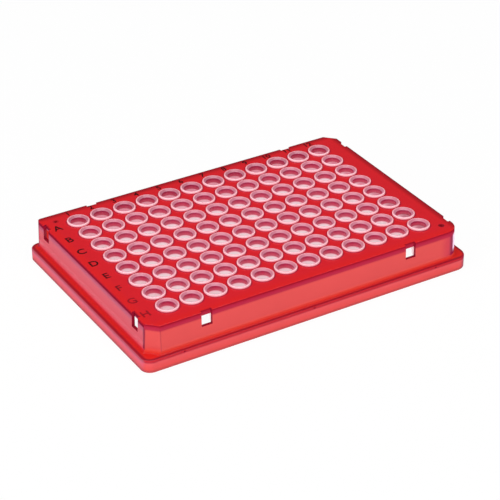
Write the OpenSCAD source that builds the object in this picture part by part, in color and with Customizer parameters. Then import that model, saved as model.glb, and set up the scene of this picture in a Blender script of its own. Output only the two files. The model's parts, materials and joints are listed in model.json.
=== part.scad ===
// Skirted 96-well PCR plate: a stiff one-piece frame (skirt, ledge, riser and deck) with a separate
// thin-walled well moulded into every hole of the deck.
// Millimetres. +X runs from column 1 to column 12, +Y from row H to row A, +Z up.
// The origin is the centre of the footprint, on the surface the plate stands on.

/* [Footprint] */
// Length of the skirt, along X
base_l = 127.76; // [124:0.01:160]
// Width of the skirt, along Y
base_w = 85.48; // [84:0.01:110]
// Corner radius of the skirt at A1, H1 and A12
base_r = 3.4; // [2:0.1:5]
// Corner radius of the skirt at H12
base_r_h12 = 4.9; // [2:0.1:6]

/* [Skirt] */
// Height of the ledge on top of the skirt
skirt_h = 4.5; // [3:0.1:7]
// Wall thickness of the skirt
skirt_wall = 1.1; // [0.8:0.1:1.6]
// Thickness of the ledge that joins the skirt to the riser
ledge_t = 1.1; // [0.8:0.1:1.6]
// Rounding of the ledge's outer edge
ledge_round = 0.6; // [0.2:0.1:0.6]
// Radius of the little nicks in the ledge's long edges
nick_r = 0.45; // [0.2:0.05:0.8]
// Distance from the middle to the outer nicks
nick_x = 49.5; // [30:0.5:55]

/* [Riser] */
// How far the riser's top edge stands in from the skirt at each end, along X
ledge_end = 2.98; // [2.4:0.01:4]
// How far the riser's top edge stands in from the skirt at each side, along Y
ledge_side = 2.24; // [2.2:0.01:4]
// Wall thickness of the riser at its top
riser_wall = 1.0; // [0.8:0.05:1.2]
// How much further out the riser's foot stands than its top edge, from its draft
riser_lean = 0.35; // [0.1:0.05:0.35]
// Fillet between the riser and the ledge
foot_round = 1.0; // [0.4:0.1:1]
// Corner radius of the riser at A1
riser_r_a1 = 1.0; // [0.8:0.1:5]
// Corner radius of the riser at H12
riser_r_h12 = 5.2; // [2:0.1:6]
// Leg of the 45 degree corner cuts at H1 and A12
corner_cut = 3.75; // [2:0.05:6]

/* [Deck] */
// Height of the deck's top face
deck_z = 15.2; // [14:0.1:20]
// Thickness of the deck
deck_t = 2.1; // [1.2:0.1:3]
// Rounding of the deck's outer edge
deck_round = 0.4; // [0.2:0.1:0.6]
// Radius of the two pin holes in the deck, near A1 and H12
pin_hole_r = 0.6; // [0.3:0.05:1]
// Distance of the pin holes from the middle, along X
pin_hole_x = 56.2; // [55:0.1:57]
// Distance of the pin holes from the middle, along Y
pin_hole_y = 35.6; // [35:0.1:36]

/* [Grip slots] */
// Width of each slot in the riser
slot_w = 4.0; // [2:0.1:6]
// Height of the slots' sill
slot_sill = 9.75; // [6:0.05:11]
// How far the slots reach in from the riser's face
slot_depth = 1.1; // [1:0.05:1.4]
// Distance of the long sides' slots from the middle
slot_x = 40; // [20:0.5:50]
// Distance between the two slots of a short side
slot_span = 64.2; // [40:0.1:66]
// How far the slots of column 1's end are shifted towards row A
slot_shift_1 = 1.5; // [-2:0.1:2]
// How far the slots of column 12's end are shifted towards row A
slot_shift_12 = -0.4; // [-2:0.1:2]

/* [Well grid] */
// Number of columns, along X
columns = 12; // [1:1:12]
// Number of rows, along Y
rows = 8; // [1:1:8]
// Distance between neighbouring wells
pitch = 9; // [8.9:0.05:9.1]

/* [Wells] */
// Bore radius of a well
bore_r = 2.75; // [2.4:0.05:2.9]
// Wall thickness of a well
well_wall = 0.35; // [0.25:0.05:0.5]
// Inside radius of a well's round tip
tip_r = 1.2; // [0.8:0.05:1.6]
// Angle of the cone from the well's axis
cone_angle = 8.75; // [7:0.25:10]
// Height of the tip's outside above the surface the plate stands on
tip_z = 0.75; // [0.5:0.05:2]
// Clearance of a well's neck in its deck hole
neck_gap = 0.05; // [0.02:0.01:0.1]

/* [Rims] */
// Height of a well's rim above the deck
rim_rise = 0.8; // [0.4:0.1:1.5]
// Outside radius of a rim
rim_r = 3.9; // [3.7:0.05:4.2]
// Width of the flat lip on top of a rim
lip_w = 0.5; // [0.4:0.05:0.6]
// Rounding of a rim's outer top edge
rim_round = 0.25; // [0.1:0.05:0.35]
// Outside radius of the collar that holds a well from below the deck
collar_r = 3.6; // [3.5:0.05:4.2]
// Thickness of that collar
collar_t = 0.7; // [0.4:0.1:1.2]

/* [Hidden] */
$fn = 64;

frame_red = "#dc2a2e";
well_clear = "#f3e4ea";

riser_l = base_l - 2 * ledge_end;
riser_w = base_w - 2 * ledge_side;
hole_r = bore_r + well_wall + neck_gap;
rim_z = deck_z + rim_rise;

// Inside a well: the height of the tip's ball centre, and [radius, height] where the cone leaves the ball
ball_z = tip_z + well_wall + tip_r;
cone_foot = [tip_r * cos(cone_angle), ball_z - tip_r * sin(cone_angle)];
mouth_r = rim_r - lip_w;

// The leg of a corner cut shrinks by this share of the inset, so that a wall is as thick at the cut
cut_share = 0.6;
// How far a rounding cutter stands off the two faces it rounds, and runs on past a sharp corner
graze = 0.005;
overrun = 1;
// Centre of the foot's fillet, as its distance outside the riser's top edge and its height
foot_z = skirt_h + foot_round - graze;
foot_x = lean_at(foot_z) + foot_round - graze;

function column_name(c) = str("wells_column_", c);
function column_x(c) = (c - (columns + 1) / 2) * pitch;
function row_y(r) = ((rows + 1) / 2 - r) * pitch;

// Corners of an outline, anticlockwise, each [x, y, radius of its rounding or 0 where it is sharp]

function skirt_corners(inset) =
    let (a = base_l / 2 - inset, b = base_w / 2 - inset, r = base_r - inset)
    [[a, -b, base_r_h12 - inset], [a, b, r], [-a, b, r], [-a, -b, r]];

function riser_corners(inset) =
    let (
        a = riser_l / 2 - inset,
        b = riser_w / 2 - inset,
        cut = corner_cut - cut_share * inset
    )
    [
        [a, -b, riser_r_h12 - inset],
        [a, b - cut, 0],
        [a - cut, b, 0],
        [-a, b, max(riser_r_a1 - inset, 0)],
        [-a, -b + cut, 0],
        [-a + cut, -b, 0]
    ];

function at(corners, i) = corners[(i + len(corners)) % len(corners)];
function flat(corner) = [corner[0], corner[1]];
function unit(v) = v / norm(v);
function heading(v) = atan2(v[1], v[0]);
function side(corners, i) = flat(at(corners, i + 1)) - flat(at(corners, i));

// How far the outline turns at a corner, in degrees
function turn(corners, i) =
    let (d = heading(side(corners, i)) - heading(side(corners, i - 1)))
    d < 0 ? d + 360 : d;

// Where the rounding of a corner starts and ends, and the centre of its arc
function reach(corners, i) = at(corners, i)[2] * tan(turn(corners, i) / 2);
function arc_start(corners, i) =
    flat(at(corners, i)) - reach(corners, i) * unit(side(corners, i - 1));
function arc_end(corners, i) =
    flat(at(corners, i)) + reach(corners, i) * unit(side(corners, i));
function arc_centre(corners, i) =
    let (d = unit(side(corners, i - 1)))
    arc_start(corners, i) + at(corners, i)[2] * [-d[1], d[0]];

// The filled outline: its tangent points joined up, and a disc at each rounded corner
module outline(corners) {
    last = len(corners) - 1;
    polygon([
        for (i = [0:last])
            each [arc_start(corners, i), arc_end(corners, i)]
    ]);
    for (i = [0:last])
        if (at(corners, i)[2] > 0)
            translate(arc_centre(corners, i))
                circle(r = at(corners, i)[2]);
}

// Carries a section along an outline. The section's X is the distance outside the outline.
// At a sharp corner the two sides run on past each other, which is only for cutters.
module along(corners) {
    for (i = [0:len(corners) - 1]) {
        corner = at(corners, i);
        before = corner[2] > 0 ? 0 : overrun;
        after = at(corners, i + 1)[2] > 0 ? 0 : overrun;
        length = norm(arc_start(corners, i + 1) - arc_end(corners, i));

        if (corner[2] > 0)
            translate(arc_centre(corners, i))
                rotate(heading(side(corners, i - 1)) - 90)
                    rotate_extrude(angle = turn(corners, i))
                        translate([corner[2], 0])
                            children();

        translate(arc_end(corners, i))
            rotate(heading(side(corners, i)))
                translate([-before, 0])
                    rotate([90, 0, 90])
                        linear_extrude(before + length + after)
                            mirror([1, 0])
                                children();
    }
}

// An upright wall's section, from z0 to z1, with its outer top edge rounded
module wall_section(thickness, z0, z1, round_r) {
    translate([-thickness, z0])
        square([thickness - round_r, z1 - z0]);
    translate([-round_r, z0])
        square([round_r, z1 - z0 - round_r]);
    translate([-round_r, z1 - round_r])
        intersection() {
            circle(r = round_r);
            square(round_r);
        }
}

// The section that rounds an outline's top edge at height z when it is cut away
module rounding_section(round_r, z) {
    translate([graze - round_r, z + graze - round_r])
        difference() {
            square(round_r + overrun);
            circle(r = round_r);
        }
}

module skirt() {
    along(skirt_corners(0))
        wall_section(skirt_wall, 0, skirt_h, ledge_round);
    translate([0, 0, skirt_h - ledge_t])
        linear_extrude(ledge_t)
            difference() {
                outline(skirt_corners((skirt_wall + ledge_round) / 2));
                outline(riser_corners(riser_wall));
            }
}

// How far outside its top edge the riser's leaning face is at height z
function lean_at(z) = riser_lean * (deck_z - z) / (deck_z - skirt_h);

// An upright band around the riser's inner wall, from the ledge's underside to a height
module riser_band(out, top_z) {
    translate([0, 0, skirt_h - ledge_t])
        linear_extrude(top_z - skirt_h + ledge_t)
            difference() {
                outline(riser_corners(-out));
                outline(riser_corners(riser_wall));
            }
}

// The section that is cut from the riser's bands to leave its leaning face and its foot's fillet
module riser_cut_section() {
    out = riser_lean + overrun;
    translate([foot_x, foot_z])
        circle(r = foot_round);
    polygon([[lean_at(foot_z), foot_z], [out, foot_z], [out, deck_z], [0, deck_z]]);
}

module riser() {
    difference() {
        union() {
            riser_band(riser_lean, deck_z);
            riser_band(foot_x, foot_z);
        }
        along(riser_corners(0))
            riser_cut_section();
    }
}

module deck() {
    translate([0, 0, deck_z - deck_t])
        linear_extrude(deck_t)
            difference() {
                outline(riser_corners(riser_wall / 2));
                for (c = [1:columns], r = [1:rows])
                    translate([column_x(c), row_y(r)])
                        circle(r = hole_r);
            }
}

// One slot, cut from above through the riser's face. It opens towards +X at the origin.
module slot() {
    translate([-slot_depth, -slot_w / 2, slot_sill])
        cube([slot_depth + overrun, slot_w, rim_z - slot_sill]);
}

module slots() {
    for (turn_by = [0, 180])
        rotate(turn_by)
            for (x = [-slot_x, slot_x])
                translate([x, -riser_w / 2])
                    rotate(-90)
                        slot();
    for (y = [-slot_span / 2, slot_span / 2]) {
        translate([riser_l / 2, y + slot_shift_12])
            slot();
        translate([-riser_l / 2, y + slot_shift_1])
            rotate(180)
                slot();
    }
}

module nicks() {
    for (x = [-nick_x, 0, nick_x], y = [-1, 1])
        translate([x, y * base_w / 2, skirt_h - ledge_round])
            cylinder(r = nick_r, h = ledge_round + overrun);
}

module pin_holes() {
    for (turn_by = [0, 180])
        rotate(turn_by)
            translate([pin_hole_x, -pin_hole_y, deck_z - deck_t - overrun])
                cylinder(r = pin_hole_r, h = deck_t + 2 * overrun);
}

module frame() {
    color(frame_red)
        difference() {
            union() {
                skirt();
                riser();
                deck();
            }
            slots();
            nicks();
            pin_holes();
            along(riser_corners(0))
                translate([lean_at(deck_z - deck_round), 0])
                    rounding_section(deck_round, deck_z);
        }
}

// Half of the space inside a well, or of its outside where grow is the wall thickness
module well_core(grow) {
    foot = cone_foot + grow * [cos(cone_angle), -sin(cone_angle)];
    r = bore_r + grow;
    top_z = foot[1] + (r - foot[0]) / tan(cone_angle);
    polygon([[0, foot[1]], foot, [r, top_z], [r, rim_z], [0, rim_z]]);
    translate([0, ball_z])
        intersection() {
            circle(r = tip_r + grow);
            translate([0, -tip_r - grow])
                square([tip_r + grow, tip_r + grow + foot[1] - ball_z]);
        }
}

module rim_section() {
    translate([bore_r, deck_z])
        square([rim_r - rim_round - bore_r, rim_rise]);
    translate([bore_r, deck_z])
        square([rim_r - bore_r, rim_rise - rim_round]);
    translate([rim_r - rim_round, rim_z - rim_round])
        circle(r = rim_round);
}

module well() {
    rotate_extrude()
        difference() {
            union() {
                well_core(well_wall);
                rim_section();
                translate([bore_r, deck_z - deck_t - collar_t])
                    square([collar_r - bore_r, collar_t]);
            }
            well_core(0);
            // 45 degree funnel from the lip down to the bore
            polygon([
                [0, rim_z - (mouth_r - bore_r)],
                [bore_r, rim_z - (mouth_r - bore_r)],
                [mouth_r, rim_z],
                [0, rim_z]
            ]);
        }
}

module wells_column(c) {
    color(well_clear)
        for (r = [1:rows])
            translate([column_x(c), row_y(r), 0])
                well();
}

frame();
for (c = [1:columns])
    wells_column(c);
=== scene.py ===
import json
import math

import bpy
from mathutils import Matrix, Vector


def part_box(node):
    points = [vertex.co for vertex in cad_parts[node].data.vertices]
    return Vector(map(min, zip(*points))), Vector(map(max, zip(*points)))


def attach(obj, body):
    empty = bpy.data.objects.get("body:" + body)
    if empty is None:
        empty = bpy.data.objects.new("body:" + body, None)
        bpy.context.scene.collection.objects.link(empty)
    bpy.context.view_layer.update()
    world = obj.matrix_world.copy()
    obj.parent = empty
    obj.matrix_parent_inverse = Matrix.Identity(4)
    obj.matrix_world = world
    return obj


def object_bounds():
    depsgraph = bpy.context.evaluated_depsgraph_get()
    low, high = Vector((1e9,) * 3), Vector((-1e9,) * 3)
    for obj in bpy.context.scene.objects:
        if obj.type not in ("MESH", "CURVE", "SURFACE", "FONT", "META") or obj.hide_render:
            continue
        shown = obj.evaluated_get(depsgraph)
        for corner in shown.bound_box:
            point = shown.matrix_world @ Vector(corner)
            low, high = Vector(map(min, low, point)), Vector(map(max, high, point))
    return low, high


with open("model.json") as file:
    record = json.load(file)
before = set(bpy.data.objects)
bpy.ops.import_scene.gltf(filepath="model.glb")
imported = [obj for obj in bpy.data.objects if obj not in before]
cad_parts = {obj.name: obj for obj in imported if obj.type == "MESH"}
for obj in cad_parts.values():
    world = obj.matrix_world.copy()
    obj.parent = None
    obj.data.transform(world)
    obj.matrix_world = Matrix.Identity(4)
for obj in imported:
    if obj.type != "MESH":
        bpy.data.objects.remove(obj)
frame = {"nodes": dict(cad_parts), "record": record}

# A skirted well plate: a translucent red frame, with a clear conical well moulded into each hole of
# its deck, and index letters and numbers on the deck. Sizes are in metres, and in millimetres inside
# the materials.
CAD_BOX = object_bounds()
MM = 0.001

MOUNTS = {m["name"]: Vector(m["pos_m"]) for m in frame["record"]["mounts"]}
WELL_A1, WELL_A12 = MOUNTS["well_A1"], MOUNTS["well_A12"]
COLUMNS, ROWS = 12, 8
PITCH = (WELL_A12.x - WELL_A1.x) / (COLUMNS - 1)
DECK_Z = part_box("frame")[1].z
BASE_HALF_L, BASE_HALF_W = CAD_BOX[1].x, CAD_BOX[1].y

# Places on the frame, in millimetres from its middle
PIN_HOLE_X, PIN_HOLE_Y = 56.2, 35.6
NICK_X = 49.5
CUT_CORNER_X, CUT_CORNER_Y = 57.1, 36.6     # where the cut corners leave the side walls and the end walls
GRID_HALF_X, GRID_HALF_Y = 54.0, 36.0
SKIRT_ROUND = 3.4       # the radius of the skirt's corners
DECK_L_OVER_W = 20.4    # how much further from the middle the deck reaches along X than along Y


def paint(hex_code):
    """A colour as linear light, from its usual six-digit code."""
    parts = [int(hex_code[i:i + 2], 16) / 255 for i in (1, 3, 5)]
    return tuple(c / 12.92 if c <= 0.04045 else ((c + 0.055) / 1.055) ** 2.4 for c in parts) + (1.0,)


class Value:
    """A number that varies over a surface, written in plain arithmetic."""

    def __init__(self, bench, socket):
        self.bench, self.socket = bench, socket

    def maths(self, operation, *terms):
        """One step of arithmetic on values and plain numbers."""
        return self.bench.node("Math", {"operation": operation}, dict(enumerate(terms)))

    def part(self, name):
        """Another output of the node that this value comes from."""
        return Value(self.bench, self.socket.node.outputs[name])

    def __add__(self, other):
        return self.maths("ADD", self, other)

    def __mul__(self, other):
        return self.maths("MULTIPLY", self, other)

    __radd__, __rmul__ = __add__, __mul__

    def __sub__(self, other):
        return self.maths("SUBTRACT", self, other)

    def __rsub__(self, other):
        return self.maths("SUBTRACT", other, self)

    def __truediv__(self, other):
        return self.maths("DIVIDE", self, other)

    def __neg__(self):
        return self * -1

    def __abs__(self):
        return self.maths("ABSOLUTE", self)

    def over(self, other):
        """The larger of the two."""
        return self.maths("MAXIMUM", self, other)

    def under(self, other):
        """The smaller of the two."""
        return self.maths("MINIMUM", self, other)

    def root(self):
        """The square root."""
        return self.maths("SQRT", self)

    def wrap(self, span):
        """The distance to the middle of the grid cell that the value lies in."""
        return self.maths("FLOORED_MODULO", self, span) - span / 2

    def rise(self, start, end):
        """0 before start, 1 after end, and smooth in between. It falls if end comes first."""
        low, high, a, b = (start, end, 0.0, 1.0) if start < end else (end, start, 1.0, 0.0)
        return self.bench.node(
            "MapRange", {"interpolation_type": "SMOOTHSTEP"},
            {"Value": self, "From Min": low, "From Max": high, "To Min": a, "To Max": b})


class Bench:
    """One material while its nodes are being put together."""

    def __init__(self, name):
        self.material = bpy.data.materials.new(name)
        self.material.use_nodes = True
        self.tree = self.material.node_tree
        self.tree.nodes.clear()

    def node(self, kind, settings=None, inputs=None, output=0):
        """Adds a node: its settings are made first, then its sockets are given values or links."""
        made = self.tree.nodes.new("ShaderNode" + kind)
        for key, value in (settings or {}).items():
            if key == "stops":
                self.set_stops(made.color_ramp.elements, value)
            else:
                setattr(made, key, value)
        for key, value in (inputs or {}).items():
            if isinstance(value, Value):
                self.tree.links.new(value.socket, made.inputs[key])
            else:
                made.inputs[key].default_value = value
        return Value(self, made.outputs[output]) if made.outputs else None

    @staticmethod
    def set_stops(elements, stops):
        """Puts the places and colours of a ramp's stops in."""
        while len(elements) < len(stops):
            elements.new(1.0)
        for element, (place, colour) in zip(elements, stops):
            element.position, element.color = place, colour

    def ramp(self, value, stops):
        """Colours that follow one another along a value. Each stop is the value there and the colour's code."""
        low, span = stops[0][0], stops[-1][0] - stops[0][0]
        return self.node("ValToRGB", {"stops": [((at - low) / span, paint(code)) for at, code in stops]},
                         {"Fac": (value - low) / span})

    def blend(self, share, first, second):
        """The first colour where share is 0, the second where it is 1."""
        return self.node("Mix", {"data_type": "RGBA"}, {0: share, 6: first, 7: second}, 2)

    def shade(self, colour, share):
        """A colour made lighter or darker by a varying share."""
        grey = self.node("CombineXYZ", inputs={0: share, 1: share, 2: share})
        return self.node("VectorMath", {"operation": "MULTIPLY"}, {0: colour, 1: grey})

    def place(self):
        """The point of the surface, in millimetres."""
        point = self.node("TexCoord", output="Object")
        axes = self.node("SeparateXYZ", inputs={0: point})
        return point, [axes.part(name) / MM for name in "XYZ"]

    def facing(self):
        """The outward direction of the surface."""
        normal = self.node("NewGeometry", output="Normal")
        axes = self.node("SeparateXYZ", inputs={0: normal})
        return [axes.part(name) for name in "XYZ"]

    def grain(self, point, scale, detail=2.0):
        """Soft noise around 0.5, scale being its number of spots in a metre."""
        return self.node("TexNoise", inputs={"Vector": point, "Scale": scale, "Detail": detail})

    def finish(self, surface):
        """Ends the material with its surface, and gives it back."""
        self.node("OutputMaterial", inputs={"Surface": surface})
        return self.material


def from_well_axis(x, y):
    """Distance to the axis of the nearest well, and the direction to the point from there."""
    wx, wy = x.wrap(PITCH / MM), y.wrap(PITCH / MM)
    distance = (wx * wx + wy * wy).root()
    return distance, wx / distance.over(0.001), wy / distance.over(0.001)


# The frame's colours by height, on its long sides and on its ends, with painted light and shade. Light runs
# through the red plastic, so a wall is painted pale where it is thin, and dark where the deck's and the ledge's
# depth lie behind it. The ends carry a painted reflection just above the ledge.
LONG_SIDE = [(0.0, "#c84448"), (0.7, "#d04c4d"), (1.1, "#eb4d4c"), (3.3, "#ed575d"), (3.9, "#c03142"),
             (4.6, "#d11e1b"), (5.2, "#ea443a"), (5.8, "#f3554f"), (6.6, "#e95151"), (12.5, "#e95251"),
             (12.95, "#e04a50"), (13.2, "#c6324a"), (14.0, "#c02c4a"), (14.5, "#ba243c"), (14.7, "#a6162e"),
             (14.9, "#a6162e"), (15.05, "#c2222c"), (15.2, "#c92428")]
END = [(0.0, "#b82a40"), (0.7, "#c3495a"), (1.3, "#e55257"), (2.8, "#ec5c76"), (3.5, "#dc637d"),
       (4.2, "#b15c6b"), (4.7, "#d21b22"), (5.2, "#dd2c36"), (5.8, "#f45a6b"), (7.0, "#ed717f"),
       (8.4, "#e35061"), (11.5, "#e15b6b"), (12.6, "#ca5a76"), (13.4, "#c45672"), (13.7, "#a2344e"),
       (13.9, "#881434"), (14.3, "#881430"), (14.5, "#ac1c30"), (14.8, "#c2222e"), (15.2, "#c9212c")]
LEDGE = [(0.0, "#b02840"), (0.35, "#a01c30"), (0.55, "#94162a"), (0.85, "#961628"), (1.1, "#b01e26"),
         (1.6, "#d22622"), (2.2, "#d21f1c"), (3.0, "#d2201e")]


def at_cut_corners(x, y):
    """1 over the quarters that hold the cut corners H1 and A12, and 0 over the other two."""
    return (x * y).rise(-1.0, 1.0)


def painted_walls(b, x, y, z, nx, ny):
    """The upright faces, with painted light and shade. With them come the grip slots' cut faces and the painted pale
    streak at H12, each as a share.
    """
    ax, ay = abs(x), abs(y)
    to_end = (abs(nx) / (abs(nx) + abs(ny)).over(0.001)).rise(0.55, 0.8)
    walls = b.blend(to_end, b.ramp(z, LONG_SIDE), b.ramp(z, END))

    # Painted shade on the grip slots' cut faces, and painted dark upright lines of shade where a wall turns at the
    # cut corners
    upright = z.rise(5.0, 6.2) * z.rise(14.0, 12.6)
    long_slot = to_end * ay.rise(38.8, 39.2) * ax.rise(48.0, 46.0)
    end_slot = (1 - to_end) * ax.rise(59.2, 59.6) * ay.rise(36.0, 35.6)
    slot_face = long_slot.over(end_slot) * z.rise(9.0, 9.4)
    walls = b.blend(slot_face, walls, paint("#a41a38"))
    end_line = abs(ay - CUT_CORNER_Y).rise(0.6, 0.35) * ax.rise(58.6, 59.6)
    side_line = abs(ax - CUT_CORNER_X).rise(0.35, 0.05) * ay.rise(38.6, 39.6) * 0.35
    lines = end_line.over(side_line) * upright * at_cut_corners(x, y)
    walls = b.blend(lines * 0.85, walls, paint("#88163c"))

    # The thick round corner at H12 is painted deep magenta as shade, with a painted pale streak where light runs
    # straight through it
    near_h12 = x.rise(52.0, 56.4) * y.rise(-34.0, -36.0) * upright
    walls = b.blend(near_h12 * 0.6, walls, paint("#d42c50"))
    walls = b.blend(near_h12 * nx.rise(0.1, 0.3), walls, paint("#a42050"))
    streak = near_h12 * nx.rise(0.42, 0.52) * nx.rise(0.97, 0.72) * z.rise(6.0, 8.0)
    walls = b.blend(streak, walls, paint("#ecc8e4"))

    # The upright edge at A1, the skirt's round corners at A1 and H12, and the nicks are painted deep red as shade too
    riser_a1 = y.rise(38.8, 39.6) * z.rise(4.4, 4.6)
    skirt_a1 = ny.rise(0.1, 0.4) * z.rise(4.6, 4.4)
    near_a1 = x.rise(-59.6, -60.2) * riser_a1.over(skirt_a1)
    walls = b.blend(near_a1 * 0.7, walls, paint("#942c54"))
    skirt_h12 = x.rise(56.5, 58.5) * y.rise(-36.0, -38.0) * z.rise(4.6, 4.4)
    walls = b.blend(skirt_h12 * nx.rise(0.2, 0.6) * 0.8, walls, paint("#a82050"))
    nick = ay.rise(42.0, 42.3) * z.rise(3.6, 3.9) * abs(ax - NICK_X).under(ax).rise(0.6, 0.5)
    walls = b.blend(nick * to_end, walls, paint("#b41c30"))
    return walls, slot_face, streak


def painted_ledge(b, x, y):
    """The ledge, by the distance from its outer edge, which turns round the skirt's corners. A dark line of painted
    shade runs along that edge.
    """
    out_x = (abs(x) - (BASE_HALF_L / MM - SKIRT_ROUND)).over(0)
    out_y = (abs(y) - (BASE_HALF_W / MM - SKIRT_ROUND)).over(0)
    return b.ramp(SKIRT_ROUND - (out_x * out_x + out_y * out_y).root(), LEDGE)


def painted_deck(b, x, y):
    """The deck. Shade gathers round each rim, along its edges behind row A and column 12, and at the pin holes."""
    ax, ay = abs(x), abs(y)
    distance, _, _ = from_well_axis(x, y)
    on_grid = ax.rise(GRID_HALF_X + 0.2, GRID_HALF_X - 0.2) * ay.rise(GRID_HALF_Y + 0.2, GRID_HALF_Y - 0.2)
    deck = b.blend(ax.over(ay + DECK_L_OVER_W).rise(57.0, 60.0), paint("#cc1d27"), paint("#d21d21"))
    deck = b.blend(distance.rise(4.7, 4.1) * on_grid * 0.65, deck, paint("#941a38"))
    rear_edge = x.over(y + DECK_L_OVER_W)
    deck = b.blend(rear_edge.rise(57.6, 60.2), deck, paint("#9c1420"))
    deck = b.blend(rear_edge.rise(60.0, 60.8), deck, paint("#6c0c1c"))
    pin_x, pin_y = ax - PIN_HOLE_X, ay - PIN_HOLE_Y
    from_pin = (pin_x * pin_x + pin_y * pin_y).root()
    pin_shade = (1 - at_cut_corners(x, y)) * (0.35 + 0.45 * x.rise(-1.0, 1.0))
    return b.blend(from_pin.rise(1.3, 0.85) * pin_shade, deck, paint("#5c0c1c"))


def red_plastic():
    """Glossy translucent red plastic."""
    b = Bench("red_plastic")
    point, (x, y, z) = b.place()
    nx, ny, nz = b.facing()
    ax, ay = abs(x), abs(y)

    walls, slot_face, streak = painted_walls(b, x, y, z, nx, ny)
    flat = nz.rise(0.6, 0.92)
    # Flat faces between the ledge and the deck, such as the grip slots' sills, are painted dark red as shade
    top = b.blend(z.rise(5.0, 6.0), painted_ledge(b, x, y), paint("#941830"))
    top = b.blend(z.rise(12.0, 13.0), top, painted_deck(b, x, y))
    colour = b.blend(flat, walls, top)

    # Under the deck the walls are painted red and given a painted glow for the light that comes through them; the
    # pale streak at H12 glows too
    inward = (-(nx * x / ax.over(0.001))).over(-(ny * y / ay.over(0.001)))
    within = inward.rise(0.3, 0.8).over(nz.rise(-0.6, -0.9)) * z.rise(13.3, 13.0)
    within = within * ax.rise(60.6, 60.2) * ay.rise(40.2, 39.8) * (1 - slot_face)
    colour = b.blend(within, colour, paint("#d0241f"))
    glow = b.shade(colour, within * 0.4 + streak * 0.35)

    mottle = b.grain(point, 90.0)
    colour = b.shade(colour, 0.97 + 0.06 * mottle)
    bump = b.node("Bump", inputs={"Strength": 0.05, "Distance": 0.0002, "Height": b.grain(point, 900.0)})
    edges = z.rise(12.6, 13.3).over(z.rise(3.5, 3.8) * z.rise(6.0, 5.4)) * (1 - flat)
    surface = b.node("BsdfPrincipled", inputs={
        "Base Color": colour, "Roughness": 0.12 + 0.08 * mottle, "IOR": 1.5, "Specular IOR Level": 0.0,
        "Emission Color": glow, "Emission Strength": 1.0,
        "Coat Weight": 0.35 * (1 - edges), "Coat Roughness": 0.08, "Normal": bump})
    return b.finish(surface)


# A well's inner colours by height, with painted light and shade: the deck's red is painted as showing through the
# wall of the bore, and below it the clear plastic is painted pale.
BORE = [(11.0, "#dcd5d7"), (12.6, "#dbd2d3"), (13.0, "#ded0d3"), (13.35, "#e2c4cb"), (13.5, "#dfaab8"),
        (13.65, "#cc6c80"), (13.8, "#c64e66"), (14.2, "#c84a64"), (14.6, "#bc3456"), (14.9, "#b02a4e"),
        (15.1, "#a4264c"), (15.24, "#a82c52"), (15.36, "#c67088"), (15.5, "#cc8296"), (16.0, "#d47d8c")]
# The flat top of a rim, by the distance from the well's axis, with painted highlights along its inner and outer
# edges.
LIP = [(3.3, "#ffe6ea"), (3.42, "#f0b4c0"), (3.52, "#e592a4"), (3.66, "#e996a6"), (3.76, "#ffd6dc"), (3.9, "#ffe6ea")]


def clear_plastic():
    """Thin clear plastic, with painted light: the red deck is painted as showing through it inside the deck's depth,
    and pale haze below.
    """
    b = Bench("clear_plastic")
    point, (x, y, z) = b.place()
    nx, ny, nz = b.facing()
    ax, ay = abs(x), abs(y)
    distance, dx, dy = from_well_axis(x, y)
    inward = -(nx * dx + ny * dy)

    inside = inward.rise(0.2, 0.5) * distance.rise(3.45, 3.35)
    lip = nz.rise(0.75, 0.9) * z.rise(15.7, 15.9)
    # Outside, pale haze below the deck, and painted shade in dark pink at the rim's foot where it meets the deck
    outside = b.blend(z.rise(12.4, 13.4), paint("#f4e6ea"), paint("#e0788c"))
    outside = b.blend(z.rise(15.25, 15.5), outside, paint("#fdc9d2"))
    colour = b.blend(inside, outside, b.ramp(z, BORE))
    colour = b.blend(lip, colour, b.ramp(distance, LIP))

    # The outer wells are given a painted tint of light on the side of the nearest wall, and rows A and B all round.
    # The upper wall in row A, and the lower wall in column 12 towards H12, are painted a little darker as shade.
    beside_wall = (ax - 49.0).rise(0.0, 2.5).over(0.5 * (ay - 31.0).rise(0.0, 2.5))
    rear_rows = 0.42 * y.rise(17.5, 18.5) + 0.33 * y.rise(27.5, 29.0)
    light_tint = b.blend(x.rise(-30.0, 10.0), paint("#d07e92"), paint("#cf8496"))
    colour = b.blend(beside_wall.over(rear_rows) * inside * z.rise(13.8, 13.2), colour, light_tint)
    row_a = y.rise(27.5, 29.0) * z.rise(13.4, 14.0)
    near_h12 = x.rise(49.5, 51.5) * y.rise(4.0, -20.0) * z.rise(14.6, 13.4)
    colour = b.shade(colour, 1 - inside * (0.14 * row_a + 0.24 * near_h12))

    # A painted glow, for light coming through the clear plastic: inside the well below the deck's top and most of all
    # below the deck, and outside on the cones below the deck and on the rim's side
    glow = b.shade(colour, inside * z.rise(15.6, 15.2) * (0.14 + 0.22 * z.rise(13.9, 13.0))
                   + (1 - inside) * (z.rise(12.4, 11.8) * 0.4 + z.rise(15.2, 15.5) * (1 - lip) * 0.2))
    cone = z.rise(12.6, 11.5)
    surface = b.node("BsdfPrincipled", inputs={
        "Base Color": colour, "Roughness": 0.1 + 0.1 * b.grain(point, 400.0), "IOR": 1.46,
        "Emission Color": glow, "Emission Strength": 1.0,
        "Alpha": 1 - 0.55 * cone})
    return b.finish(surface)


def index_ink():
    """Dark printing ink, patchy, and paler towards row H."""
    b = Bench("index_ink")
    point, (x, y, z) = b.place()
    patchy_and_paler = 0.3 * b.grain(point, 1500.0, 4.0).rise(0.35, 0.75) + 0.7 * y.rise(0.0, -24.0)
    colour = b.blend(patchy_and_paler, paint("#1c0104"), paint("#a01020"))
    return b.finish(b.node("BsdfPrincipled", inputs={
        "Base Color": colour, "Roughness": 0.5, "Specular IOR Level": 0.1}))


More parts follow.
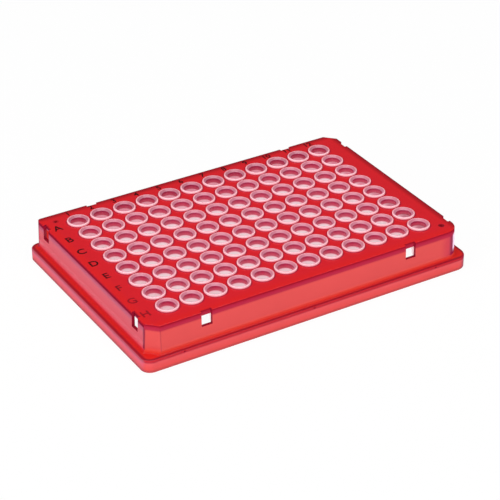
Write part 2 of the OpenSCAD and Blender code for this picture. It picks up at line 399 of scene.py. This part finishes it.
CAPITAL_SHARE = 0.7     # a capital's height as a share of the font's size
INK_DEPTH = 0.01 * MM
STROKE_GAIN = 0.07 * MM
INK_LIFT = 0.02 * MM
LETTER_HEIGHT, NUMBER_HEIGHT = 3.2 * MM, 2.4 * MM
LETTER_SHIFT = Vector((-8.2 * MM, -0.6 * MM))     # from a well of column 1 to its row's letter
NUMBER_SHIFT = Vector((-0.8 * MM, 6.5 * MM))      # from a well of row A to its column's number


def lettering(name, marks, height):
    """Flat index marks in one mesh. Each mark is its text and the place of its middle on the deck."""
    made = []
    for words, centre in marks:
        curve = bpy.data.curves.new(name + "_curve", "FONT")
        curve.body = words
        curve.align_x, curve.align_y = "CENTER", "CENTER"
        curve.size = height / CAPITAL_SHARE
        curve.extrude = INK_DEPTH
        curve.offset = STROKE_GAIN
        curve.resolution_u = 4
        holder = bpy.data.objects.new(name + "_holder", curve)
        bpy.context.scene.collection.objects.link(holder)
        bpy.context.view_layer.update()
        mesh = bpy.data.meshes.new_from_object(holder.evaluated_get(bpy.context.evaluated_depsgraph_get()))
        mesh.transform(Matrix.Translation(centre))
        made.append(mesh)
        bpy.data.objects.remove(holder)
        bpy.data.curves.remove(curve)
    points, faces = [], []
    for mesh in made:
        start = len(points)
        points += [v.co.copy() for v in mesh.vertices]
        faces += [[start + i for i in p.vertices] for p in mesh.polygons]
        bpy.data.meshes.remove(mesh)
    joined = bpy.data.meshes.new(name)
    joined.from_pydata(points, [], faces)
    piece = bpy.data.objects.new(name, joined)
    bpy.context.scene.collection.objects.link(piece)
    return piece


def index_marks():
    """The row letters left of column 1 and the column numbers above row A."""
    level = DECK_Z + INK_LIFT
    letters = [(chr(ord("A") + r),
                Vector((WELL_A1.x + LETTER_SHIFT.x, WELL_A1.y - r * PITCH + LETTER_SHIFT.y, level)))
               for r in range(ROWS)]
    numbers = [(str(c + 1),
                Vector((WELL_A1.x + c * PITCH + NUMBER_SHIFT.x, WELL_A1.y + NUMBER_SHIFT.y, level)))
               for c in range(COLUMNS)]
    ink = index_ink()
    for name, marks, height in (("row_letters", letters, LETTER_HEIGHT),
                                ("column_numbers", numbers, NUMBER_HEIGHT)):
        piece = lettering(name, marks, height)
        piece.data.materials.append(ink)
        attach(piece, "root")


def dress(node, material):
    """Gives a CAD node one material all over."""
    data = frame["nodes"][node].data
    data.materials.clear()
    data.materials.append(material)
    for polygon in data.polygons:
        polygon.material_index = 0


TABLE_HALF = 6.0
TABLE_GAP = 0.05 * MM
TABLE_GLOW = 0.93     # the rest is matt, and keeps a soft shadow of the plate


def floor():
    """A white table, nearly white in itself, in gloss and through clear plastic, whatever light falls on it."""
    b = Bench("white_table")
    rays = b.node("LightPath", output="Is Camera Ray")
    seen = rays.over(rays.part("Is Glossy Ray")).over(rays.part("Is Transmission Ray"))
    glow = b.node("Emission", inputs={"Color": (1, 1, 1, 1), "Strength": 1.0})
    matt = b.node("BsdfDiffuse", inputs={"Color": (0.9, 0.9, 0.9, 1)})
    b.finish(b.node("MixShader", inputs={0: seen * TABLE_GLOW, 1: matt, 2: glow}))
    mesh = bpy.data.meshes.new("table")
    mesh.from_pydata([(x * TABLE_HALF, y * TABLE_HALF, 0) for x, y in ((-1, -1), (1, -1), (1, 1), (-1, 1))],
                     [], [(0, 1, 2, 3)])
    table = bpy.data.objects.new("table", mesh)
    bpy.context.scene.collection.objects.link(table)
    mesh.materials.append(b.material)
    table.location.z = CAD_BOX[0].z - TABLE_GAP


ROOM_LIGHT = 0.2
# Each lamp's name, place, the point it looks at, its width, and its power in watts
LAMPS = (("overhead", (-0.1, -0.2, 1.3), (0, 0, 0), 1.6, 18.0),
         ("left_fill", (-1.3, -0.2, 0.6), (0, 0, 0.01), 0.8, 5.5),
         ("front_fill", (-0.1, -1.3, 0.6), (0, 0, 0.01), 0.8, 4.0))


def look_at(holder, back):
    """Turns a lamp or the camera so that its back faces the way given."""
    holder.rotation_mode = "QUATERNION"
    holder.rotation_quaternion = (-back).to_track_quat("-Z", "Y")
    bpy.context.scene.collection.objects.link(holder)


def lights():
    """Plain soft light: a faint even room, one large lamp overhead, and a fill on the left and in front."""
    world = bpy.data.worlds.new("room")
    bpy.context.scene.world = world
    world.use_nodes = True
    background = world.node_tree.nodes["Background"].inputs
    background["Color"].default_value = (1, 1, 1, 1)
    background["Strength"].default_value = ROOM_LIGHT
    for name, place, aim, width, watts in LAMPS:
        light = bpy.data.lights.new(name, "AREA")
        light.shape, light.size, light.size_y = "RECTANGLE", width, width
        light.energy = watts
        holder = bpy.data.objects.new(name, light)
        holder.location = place
        look_at(holder, Vector(place) - Vector(aim))


CAMERA_TURN, CAMERA_RISE = math.radians(-31.234), math.radians(31.091)
CAMERA_REACH = 0.66759
CAMERA_AIM = Vector((-2.41, -5.22, 8.0)) * MM
CAMERA_LENS, CAMERA_FILM = 139.56, 36.0


def camera():
    """Looks down on the plate over its H1 corner."""
    data = bpy.data.cameras.new("camera")
    data.lens, data.sensor_width = CAMERA_LENS, CAMERA_FILM
    holder = bpy.data.objects.new("camera", data)
    level = math.cos(CAMERA_RISE)
    back = Vector((math.sin(CAMERA_TURN) * level, -math.cos(CAMERA_TURN) * level, math.sin(CAMERA_RISE)))
    holder.location = CAMERA_AIM + back * CAMERA_REACH
    look_at(holder, back)
    bpy.context.scene.camera = holder


red, clear = red_plastic(), clear_plastic()
for node in frame["nodes"]:
    dress(node, red if node == "frame" else clear)
index_marks()
floor()
lights()
camera()
bpy.context.scene.view_settings.view_transform = "Standard"
